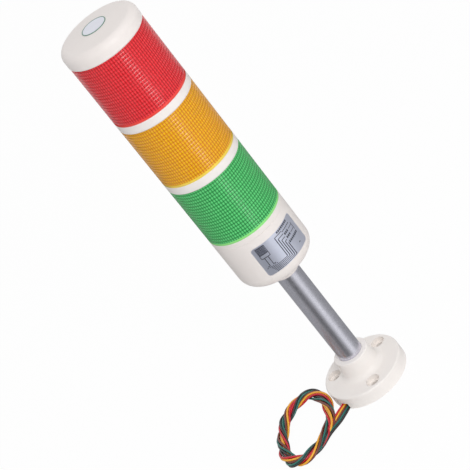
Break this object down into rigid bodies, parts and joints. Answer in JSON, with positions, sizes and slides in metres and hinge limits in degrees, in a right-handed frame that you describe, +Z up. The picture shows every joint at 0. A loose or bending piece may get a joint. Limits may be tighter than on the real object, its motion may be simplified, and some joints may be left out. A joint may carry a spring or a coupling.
{
  "type": "stack light",
  "caption": "Three-colour signal tower of ribbed lenses on a wiring housing, with an aluminium pole, a round screw-down flange and a coil of open-ended leads.",
  "frame": {"origin": "middle of the flange's underside, on the surface that the light is screwed to", "axes": "+Z up along the pole to the cap; a viewer facing the rating label looks along +Y, so the label is on the -Y side; the leads leave the flange towards -X"},
  "size_m": [0.143, 0.0896, 0.413],
  "materials": {
    "white_plastic": "smooth moulded plastic",
    "pole_aluminium": "drawn satin tube",
    "zinc_steel": "zinc plated",
    "seal_rubber": "plain",
    "badge_lilac": "plain disc",
    "badge_green": "thin ring",
    "board_green": "glass-fibre laminate",
    "capacitor_can": "drawn can",
    "terminal_plastic": "moulded block",
    "chip_black": "moulded package",
    "harness_sleeve": "soft sleeve",
    "led_package": "clear-topped package",
    "label_foil": "satin foil with grey print",
    "lead_insulation": "soft PVC in five colours",
    "green_acrylic": "clear coloured plastic",
    "amber_acrylic": "clear coloured plastic",
    "red_acrylic": "clear coloured plastic"
  },
  "bodies": {
    "root": {"mounting_flange": "white_plastic", "base_housing": "white_plastic", "housing_cover": "white_plastic", "lower_tier_plate": "white_plastic", "upper_tier_plate": "white_plastic", "top_cap": "white_plastic", "pole": "pole_aluminium", "pole_nuts": "zinc_steel", "pole_washers": "zinc_steel", "tie_rods": "zinc_steel", "tie_rod_nuts": "zinc_steel", "tie_rod_washers": "zinc_steel", "board_screws": "zinc_steel", "cover_screws": "zinc_steel", "lens_seals": "seal_rubber", "cap_disc": "badge_lilac", "cap_ring": "badge_green", "control_board": "board_green", "green_led_board": "board_green", "amber_led_board": "board_green", "red_led_board": "board_green", "power_capacitor": "capacitor_can", "terminal_block": "terminal_plastic", "driver_chips": "chip_black", "tier_harness": "harness_sleeve", "green_leds": "led_package", "amber_leds": "led_package", "red_leds": "led_package", "rating_label": "label_foil", "riser_leads": "lead_insulation", "lead_tail": "lead_insulation", "lead_coil": "lead_insulation", "green_lens": "green_acrylic", "amber_lens": "amber_acrylic", "red_lens": "red_acrylic"}
  },
  "joints": []
}
